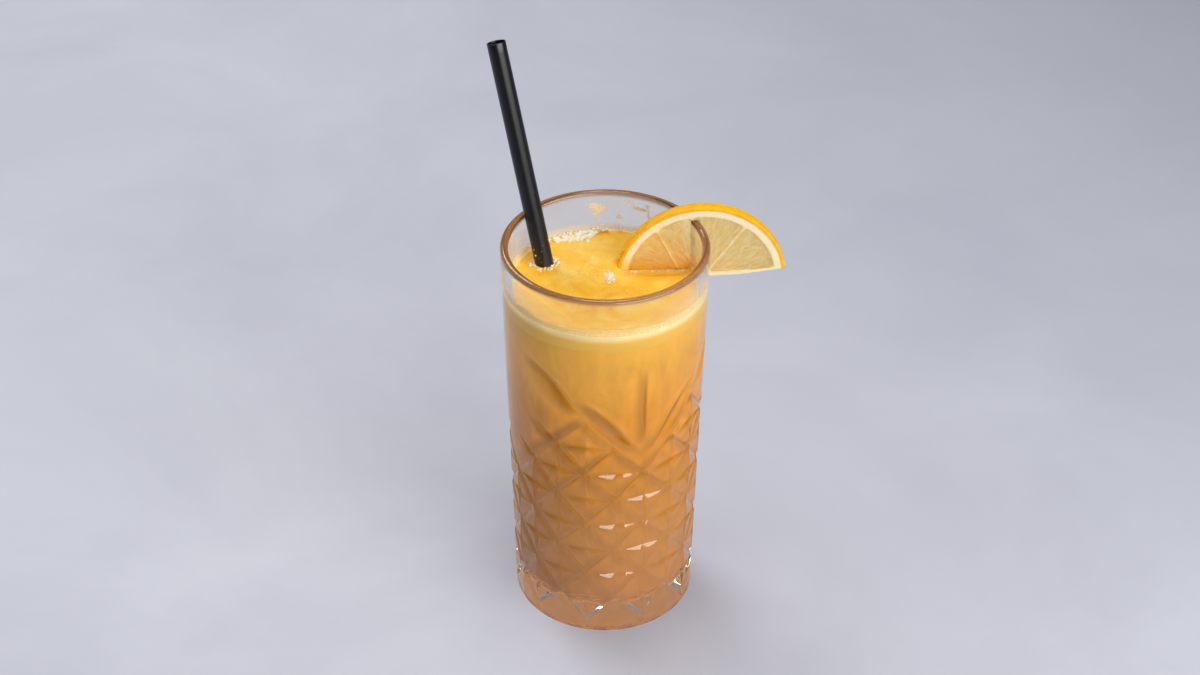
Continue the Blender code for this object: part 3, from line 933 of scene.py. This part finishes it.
def slice_grid():
    """Places on the face and half the thickness there, along the profile (rows) and round the arc."""
    t = np.linspace(0.0, np.pi, 181)
    face = np.append(0.3, np.linspace(0.9, SLICE_R - EDGE_ROUND, 74))
    a = np.linspace(0.0, 0.5 * np.pi, 6)[1:]
    radius = np.append(face, SLICE_R - EDGE_ROUND + EDGE_ROUND * np.sin(a))
    drop = np.append(np.zeros(len(face)), EDGE_ROUND * (1.0 - np.cos(a)))
    x = radius[:, None] * np.cos(t)
    y = SLICE_RISE * radius[:, None] * np.sin(t)
    inside = into_segment(x, y)
    sacs = np.sin(34.0 * t + 1.7 * np.sin(0.35 * radius)[:, None]) * np.sin(0.45 * radius)[:, None]
    dip = FLESH_DIP * (1.0 - np.exp(-np.clip(inside, 0.0, None) / 0.5))
    dip += 0.06 * np.clip(inside, 0.0, 1.0) * sacs
    y = y + ARCH_H * np.exp(-((x / ARCH_W) ** 2)) * np.clip(1.0 - y / 14.0, 0.0, None)
    return x, y, 0.5 * SLICE_T - drop[:, None] - dip


def slice_shell():
    """Points and faces of the closed half-wheel, before the slit."""
    x, y, half = slice_grid()
    w = np.concatenate([-half, half[::-1]])
    x, y = np.concatenate([x, x[::-1]]), np.concatenate([y, y[::-1]])
    u, v, back = slice_axes()
    grid = SLICE_AT + x[..., None] * u + y[..., None] * v + w[..., None] * back
    rows, cols = grid.shape[:2]
    faces = grid_quads(rows, cols, wrap=False).tolist()
    i = np.arange(rows // 2 - 1)
    rim = np.stack([i, i + 1, rows - 2 - i, rows - 1 - i], -1) * cols
    faces += rim.tolist() + (rim + cols - 1)[:, ::-1].tolist()
    last = (rows - 1) * cols
    j = np.arange(cols - 1)
    faces += np.stack([last + j, last + j + 1, j + 1, j], -1).tolist()
    faces.append([0, last, last + cols - 1, cols - 1])
    return grid.reshape(-1, 3), faces


def rim_cutter():
    """The wall's ring with a little gap round it, as a closed band from below the slice to the rim."""
    z = np.array([106.0, HEIGHT + SLIT_GAP])
    outer, inner = outer_r(HEIGHT) + SLIT_GAP, inner_r(z) - SLIT_GAP
    angles = 2.0 * np.pi * np.arange(256) / 256
    rings = turned([outer, outer, inner[1], inner[0]], angles, z[[0, 1, 1, 0]])
    j = np.arange(256)
    k = (j + 1) % 256
    close = np.stack([768 + j, 768 + k, k, j], -1)
    faces = grid_quads(4, 256).tolist() + close.tolist()
    return new_mesh("slit_cutter", rings.reshape(-1, 3), faces, None, False)


def cut_slit(obj, cutter):
    """Take the cutter's volume out of a piece and keep only the result."""
    tool = obj.modifiers.new("slit", "BOOLEAN")
    tool.operation, tool.object, tool.solver = "DIFFERENCE", cutter, "EXACT"
    bpy.context.view_layer.update()
    graph = bpy.context.evaluated_depsgraph_get()
    result = bpy.data.meshes.new_from_object(obj.evaluated_get(graph))
    obj.modifiers.remove(tool)
    old, obj.data = obj.data, result
    result.name = obj.name
    bpy.data.meshes.remove(old)
    bpy.data.objects.remove(cutter)


slice_points, slice_faces = slice_shell()
slice_piece = new_mesh("lemon_half_wheel", slice_points, slice_faces, slice_material())
cut_slit(slice_piece, rim_cutter())
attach(slice_piece, "root")
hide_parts("lemon_slice")
report(slice_piece)

# %% [markdown]
# ## Film and smears on the glass
#
# A poured smoothie leaves a pale ring of dried foam just above its surface, and a few thin smears further
# up the wall. They could be painted on the glass, but a real film has its own thickness. So one sheet lies
# on the inner wall, and only its cells where the film is thick enough are kept. How thick the film is at
# each place is stored as an attribute, which the finish reads to fade it out at its edges.

# %% How much film lies where
RING_LOW, RING_HIGH = 123.9, 129.3
# Each smear: angle, height, half width, half height and strength.
SMEARS = (
    (185.0, 134.0, 2.3, 1.9, 0.50),
    (188.2, 134.8, 1.2, 1.0, 0.40),
    (182.0, 133.0, 1.4, 1.2, 0.35),
    (185.5, 130.8, 0.8, 1.8, 0.35),
    (171.4, 130.6, 0.9, 0.8, 0.60),
    (166.3, 136.9, 1.2, 0.45, 0.55),
    (162.6, 136.3, 0.5, 1.0, 0.60),
    (160.3, 134.9, 1.0, 0.6, 0.70),
    (157.8, 134.5, 1.2, 0.5, 0.65),
    (155.4, 134.8, 1.0, 0.6, 0.70),
    (153.4, 136.2, 0.8, 0.8, 0.55),
    (152.6, 133.6, 0.35, 1.4, 0.60),
    (151.6, 132.2, 0.4, 0.6, 0.50),
)


def value_noise(shape, cells, seed):
    """Soft noise from 0 to 1: random values on a coarse grid, blended along a cosine between them."""
    coarse = np.random.default_rng(seed).random((cells[0] + 1, cells[1]))
    u = np.linspace(0.0, cells[0] - 1e-6, shape[0])[:, None]
    v = np.arange(shape[1])[None, :] * cells[1] / shape[1]
    i, j = u.astype(int), v.astype(int)
    fu, fv = 0.5 - 0.5 * np.cos(np.pi * (u - i)), 0.5 - 0.5 * np.cos(np.pi * (v - j))
    k = (j + 1) % cells[1]
    low = coarse[i, j] * (1.0 - fv) + coarse[i, k] * fv
    high = coarse[i + 1, j] * (1.0 - fv) + coarse[i + 1, k] * fv
    return low * (1.0 - fu) + high * fu


def film_amount(angle, z):
    """Film from 0 to 1: a ring with a ragged upper edge, and smears as sums of soft spots."""
    ragged = value_noise(z.shape, (8, 60), 11)
    fine = value_noise(z.shape, (40, 360), 12)
    top = RING_HIGH - 0.2 - 1.3 * ragged
    ring = np.clip((top - z) / 2.2, 0.0, 1.0) * np.clip((z - RING_LOW) / 0.5, 0.0, 1.0)
    back = np.exp(-(((angle - 180.0) / 75.0) ** 4))
    amount = ring * (0.80 - 0.15 * fine) * (1.0 - 0.55 * back)
    # A pale haze on the left and right of the wall, fading out up to 137.5 mm.
    sides = np.exp(-(((np.abs(angle - 180.0) - 100.0) / 42.0) ** 2))
    amount = amount + np.clip((137.5 - z) / 12.0, 0.0, 1.0) * sides * (0.42 + 0.12 * ragged)
    for turn, height, wide, tall, strength in SMEARS:
        du = np.radians(angle - turn) * RIM_INNER_R / wide
        dv = (z - height) / tall
        amount = amount + strength * np.exp(-(du ** 2 + dv ** 2) ** 1.5) * (0.55 + 0.45 * fine)
    return np.clip(amount, 0.0, 1.0)


def film_material():
    """Dried foam: cream and matt, fading out where the film is thin, and without a shadow of its own."""
    n = Finish("foam_film")
    where = n.where()
    spots = n.noise(where, 1300.0, 3.0, 0.6)
    colour = n.ramp(spots, (0.35, srgb(240, 206, 142)), (0.65, srgb(252, 230, 186)))
    low = n.between(n.split(where)["Z"], 0.1305, 0.1262)
    amount = n.add("Attribute", attribute_name="film").outputs["Fac"]
    n.see_through(n.add("LightPath").outputs["Is Shadow Ray"], grey(1.0))
    return n.shade(
        Base_Color=n.mix(low, colour, srgb(255, 222, 150)),
        Alpha=n.sum("MINIMUM", n.times(amount, n.remap(spots, 0.3, 0.6, 0.8, 1.1)), 1.0),
        Roughness=0.5,
        Specular_IOR_Level=0.1,
    )


# %% Build the film
FILM_T, FILM_LEAST, INTO_GLASS = 0.08, 0.04, 0.06


def film_sheet():
    """The kept cells of a band of the inner wall, with the film's amount at each of their corners."""
    angle, z = np.meshgrid(360.0 * np.arange(720) / 720, np.linspace(RING_LOW - 0.1, 138.2, 64))
    amount = film_amount(angle, z).reshape(-1)
    grid = turned(inner_r(z) + INTO_GLASS, np.radians(angle), z).reshape(-1, 3)
    quads = grid_quads(64, 720)
    kept = quads[amount[quads].max(1) > FILM_LEAST]
    used, again = np.unique(kept, return_inverse=True)
    return grid[used], again.reshape(-1, 4)[:, ::-1].tolist(), amount[used].astype(np.float32)


film_points, film_faces, film_here = film_sheet()
film = new_mesh("foam_film", film_points, film_faces, film_material())
film.data.attributes.new("film", "FLOAT", "POINT").data.foreach_set("value", film_here)
thick = film.modifiers.new("thickness", "SOLIDIFY")
thick.thickness = FILM_T * MM
thick.offset = 1.0
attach(film, "root")
report(film)

# %% [markdown]
# ## Bubbles, drops and specks
#
# Small round things are one low ball, copied by adding its points to every centre at once. Larger foam
# bubbles gather at the back wall, round the straw's foot and in one white patch. Clear drops of juice cling
# to the slice, and tiny dark specks of pulp dot the froth.

# %% Balls from one pattern


def ball(rings=5, sides=8):
    """Points and faces of a unit ball: rings of latitude with a point at each pole."""
    a = np.pi * np.arange(1, rings + 1)[:, None] / (rings + 1)
    t = 2.0 * np.pi * np.arange(sides) / sides
    body = np.stack([np.sin(a) * np.cos(t), np.sin(a) * np.sin(t), np.cos(a) + 0.0 * t], -1)
    points = np.concatenate([body.reshape(-1, 3), [[0.0, 0.0, 1.0], [0.0, 0.0, -1.0]]])
    j = np.arange(sides)
    k = (j + 1) % sides
    last, north = (rings - 1) * sides, np.full(sides, rings * sides)
    top = np.stack([j, k, north], -1)
    low = np.stack([k + last, j + last, north + 1], -1)
    return points, grid_quads(rings, sides)[:, ::-1], np.concatenate([top, low])


def balls(name, centres, sizes, mat, squash=1.0):
    """One mesh of many balls at centres, in millimetres, flattened by squash."""
    points, quads, tris = ball()
    shape = points * np.array([1.0, 1.0, squash])
    every = np.asarray(centres)[:, None, :] + shape[None] * np.asarray(sizes)[:, None, None]
    step = (np.arange(len(every)) * len(points))[:, None, None]
    faces = (quads[None] + step).reshape(-1, 4).tolist() + (tris[None] + step).reshape(-1, 3).tolist()
    obj = new_mesh(name, every.reshape(-1, 3), faces, mat)
    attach(obj, "root")
    report(obj)
    return obj


def small(rng, count, least, more, power=2):
    """Random sizes from least to least + more, most of them near the least."""
    return least + more * rng.random(count) ** power


def bubble_material():
    """Foam bubbles: thin milky skins, partly clear, with a bright glint."""
    n = Finish("foam_bubble")
    milky = n.noise(n.where(), 500.0, 3.0, 0.5)
    return n.shade(
        Base_Color=n.ramp(milky, (0.35, srgb(255, 238, 190)), (0.65, srgb(255, 250, 236))),
        Transmission_Weight=n.remap(milky, 0.0, 1.0, 0.0, 0.25),
        Roughness=0.14,
        IOR=1.3,
    )


def speck_material():
    """Tiny bits of pulp and pits of burst bubbles, darker orange than the froth."""
    n = Finish("pulp_speck")
    spots = n.noise(n.where(), 700.0)
    colour = n.ramp(spots, (0.4, srgb(176, 104, 14)), (0.6, srgb(222, 150, 30)))
    return n.shade(Base_Color=colour, Roughness=0.4)


def drop_material():
    """Clear drops of watery juice."""
    n = Finish("juice_drop")
    spots = n.noise(n.where(), 300.0)
    colour = n.ramp(spots, (0.4, srgb(255, 232, 170)), (0.6, srgb(255, 246, 220)))
    return n.shade(Base_Color=colour, Transmission_Weight=0.8, Roughness=0.03, IOR=1.34)


# %% Foam bubbles on the froth
BANK, COLLAR, PATCH, ROW, FINE, ON_STRAW = 190, 90, 170, 46, 420, 26


def foam_bubbles():
    """Centres and sizes: a bank at the back wall, a collar at the straw, one white patch, a row at the
    slice, fine ones all over, and some that cling to the straw."""
    rng = np.random.default_rng(21)
    turn = np.radians(198.0 + 9.5 * rng.normal(size=BANK))
    size = small(rng, BANK, 0.30, 1.0, 3)
    spread = 1.7 * np.exp(-((np.degrees(turn) - 198.0) / 14.0) ** 2)
    depth = size + np.abs(rng.normal(size=BANK)) * spread
    radius = inner_r(125.0) - depth
    bank = np.stack([radius * np.sin(turn), -radius * np.cos(turn)], -1)
    lift = np.clip(1.9 - 0.8 * depth, 0.0, None) * rng.random(BANK)

    turn = rng.random(COLLAR) * 2.0 * np.pi
    off = small(rng, COLLAR, STRAW_R + 0.2, 2.2)
    collar = STRAW_IN_FROTH[:2] + np.stack([off * np.sin(turn), -off * np.cos(turn)], -1)
    collar_size = small(rng, COLLAR, 0.14, 0.42)

    patch = np.array([1.5, 3.2]) + rng.normal(size=(PATCH, 2)) * np.array([1.0, 1.5])
    patch_size = small(rng, PATCH, 0.12, 0.26)

    x = SLICE_AT[0] - 25.5 + 21.0 * rng.random(ROW)
    y = SLICE_AT[1] + (x - SLICE_AT[0]) * math.tan(SLICE_TURN) - 0.5 * SLICE_T - 0.45
    y = y + 0.25 * rng.random(ROW)
    row, row_size = np.stack([x, y], -1), small(rng, ROW, 0.12, 0.30)

    far = 29.8 * np.sqrt(rng.random(FINE))
    turn = 2.0 * np.pi * rng.random(FINE)
    x, y = far * np.sin(turn), -far * np.cos(turn)
    fine = np.stack([x, y], -1)[(straw_distance(x, y) > 0.5) & (slice_distance(x, y) > 0.5)]

    places = np.concatenate([bank, collar, patch, row, fine])
    sizes = np.concatenate([size, collar_size, patch_size, row_size, small(rng, len(fine), 0.06, 0.13, 3)])
    rises = [share * rng.random(count) for share, count in ((0.5, COLLAR), (0.15, PATCH), (0.3, ROW))]
    rise = np.concatenate([lift, *rises, np.zeros(len(fine))])
    z = froth_level(*places.T) + rise - 0.2 * sizes

    along, side, across = straw_axes()
    s = STRAW_SHARE * np.linalg.norm(STRAW_TOP - STRAW_FOOT) + small(rng, ON_STRAW, 0.4, 8.0)
    t = 2.0 * np.pi * rng.random(ON_STRAW)
    outward = np.cos(t)[:, None] * side + np.sin(t)[:, None] * across
    skin = STRAW_FOOT + s[:, None] * along + STRAW_R * outward
    centres = np.concatenate([np.column_stack([places, z]), skin])
    return centres, np.append(sizes, small(rng, ON_STRAW, 0.08, 0.22))


bubbles = balls("foam_bubbles", *foam_bubbles(), bubble_material())

# %% Specks on the froth
SPECKS = 150


def speck_places():
    """Centres and sizes of specks, spread evenly over the froth but not at the straw and the slice."""
    rng = np.random.default_rng(33)
    radius = 29.6 * np.sqrt(rng.random(SPECKS))
    turn = 2.0 * np.pi * rng.random(SPECKS)
    x, y = radius * np.sin(turn), -radius * np.cos(turn)
    clear = (straw_distance(x, y) > 0.8) & (slice_distance(x, y) > 0.6)
    x, y = x[clear], y[clear]
    return np.column_stack([x, y, froth_level(x, y) + 0.02]), small(rng, len(x), 0.09, 0.13)


specks = balls("pulp_specks", *speck_places(), speck_material(), 0.35)

# %% Drops on the slice
AT_FROTH, ON_FACE, ON_PEEL = 26, 16, 22


def drop_places():
    """Centres and sizes: a row where the slice meets the froth, a few on its face, and some on its peel."""
    rng = np.random.default_rng(45)
    u, v, back = slice_axes()

    def on_slice_at(x, y, w):
        return SLICE_AT + x[:, None] * u + y[:, None] * v + np.reshape(w, (-1, 1)) * back

    x = -23.0 + 19.5 * rng.random(AT_FROTH)
    level = FROTH_TOP - HOLLOW_H + 0.7 + 0.6 * rng.random(AT_FROTH)
    y = (level - SLICE_AT[2] - x * u[2] + 0.5 * SLICE_T * back[2]) / v[2]
    row, row_size = on_slice_at(x, y, -0.5 * SLICE_T), small(rng, AT_FROTH, 0.12, 0.3)

    a = np.radians(20.0 + 145.0 * rng.random(ON_FACE))
    r = 6.0 + 17.0 * rng.random(ON_FACE)
    face = on_slice_at(r * np.cos(a), SLICE_RISE * r * np.sin(a), 0.25 - 0.5 * SLICE_T)
    face_size = small(rng, ON_FACE, 0.12, 0.25)

    t = np.radians(112.0 + 48.0 * rng.random(ON_PEEL))
    back_by = -0.5 * SLICE_T * (0.2 + 0.75 * rng.random(ON_PEEL))
    peel = on_slice_at(SLICE_R * np.cos(t), SLICE_RISE * SLICE_R * np.sin(t), back_by)
    sizes = [row_size, face_size, small(rng, ON_PEEL, 0.12, 0.26)]
    return np.concatenate([row, face, peel]), np.concatenate(sizes)


drops = balls("juice_drops", *drop_places(), drop_material())

# %% [markdown]
# ## Floor, lamps and camera
#
# The glass stands on a pale blue-grey surface with a soft cloudy finish, and painted shade makes it darker
# far away and to the right. Three large soft lamps light it: the key from the front right, a fill from the
# back left and a weak one above, under an even grey sky.

# %% Floor
FLOOR_HALF = 2000.0


def floor_material():
    """Pale blue-grey surface with soft clouds, and painted shade: darker far away and to the right."""
    n = Finish("pale_floor")
    where = n.where()
    x, y = n.split(where)[:2]
    clouds = n.noise(where, 7.0, 5.0, 0.6, 0.4)
    colour = n.ramp(clouds, (0.3, srgb(190, 192, 204)), (0.7, srgb(206, 208, 218)))
    # Painted shade: the floor is darker towards the back, and most at the back right.
    away = n.remap(y, -0.1, 0.5)
    corner = n.times(n.sum("ADD", away, 0.12), n.remap(x, -0.1, 0.35))
    colour = n.mix(n.times(corner, 0.85), colour, srgb(158, 160, 172))
    return n.shade(Base_Color=n.mix(n.times(away, 0.25), colour, srgb(160, 162, 174)), Roughness=0.6)


corners = [[-1, -1, 0], [1, -1, 0], [1, 1, 0], [-1, 1, 0]]
floor = new_mesh("floor", np.array(corners) * FLOOR_HALF, [[0, 1, 2, 3]], floor_material())

# %% Lamps and sky


def lamp(name, place, aim, size, power):
    """A soft white lamp, width by height in metres, at a place and facing a point."""
    data = bpy.data.lights.new(name, "AREA")
    data.shape = "RECTANGLE"
    data.size, data.size_y = size
    data.energy = power
    obj = bpy.data.objects.new(name, data)
    obj.location = place
    obj.rotation_euler = (Vector(aim) - Vector(place)).to_track_quat("-Z", "Y").to_euler()
    bpy.context.scene.collection.objects.link(obj)


lamp("key", KEY_AT, KEY_TO, KEY_SIZE, 18.0)
lamp("fill", (-0.7, 0.9, 1.1), (0.0, 0.0, 0.08), (0.7, 0.7), 9.0)
lamp("top", (0.0, 0.1, 1.2), (0.0, 0.0, 0.1), (0.45, 0.45), 3.5)

world = bpy.data.worlds.new("studio")
bpy.context.scene.world = world
sky = Finish("sky", world)
height = sky.split(sky.add("TexCoord").outputs["Generated"])["Z"]
shade = sky.ramp(
    height,
    (0.0, (0.10, 0.10, 0.11, 1.0)),
    (0.12, (0.25, 0.25, 0.27, 1.0)),
    (0.5, (0.50, 0.51, 0.55, 1.0)),
    (1.0, (0.70, 0.70, 0.72, 1.0)),
)
sky.fill(sky.nodes["Background"], {"Color": shade, "Strength": 0.5})

# %% Camera
FOCAL_PX, PICTURE_W = 2291.15, 1200.0
AIM, DISTANCE = Vector((-0.0016132, 0.0, 0.1027639)), 0.7581263
ELEVATION, ROLL = math.radians(35.2638), math.radians(0.1601)

camera_data = bpy.data.cameras.new("camera")
camera_data.sensor_width = 36.0
camera_data.lens = FOCAL_PX * camera_data.sensor_width / PICTURE_W
camera_data.clip_start = 0.01
camera = bpy.data.objects.new("camera", camera_data)
bpy.context.scene.collection.objects.link(camera)
back = Vector((0.0, -math.cos(ELEVATION), math.sin(ELEVATION)))
level = Vector((1.0, 0.0, 0.0))
right = math.cos(ROLL) * level + math.sin(ROLL) * back.cross(level)
turn = Matrix((right, back.cross(right), back)).transposed()
camera.matrix_world = Matrix.Translation(AIM + DISTANCE * back) @ turn.to_4x4()
bpy.context.scene.camera = camera
bpy.context.scene.view_settings.view_transform = "Standard"
print("lens:", round(camera_data.lens, 2), "camera at", [round(v, 4) for v in camera.location])
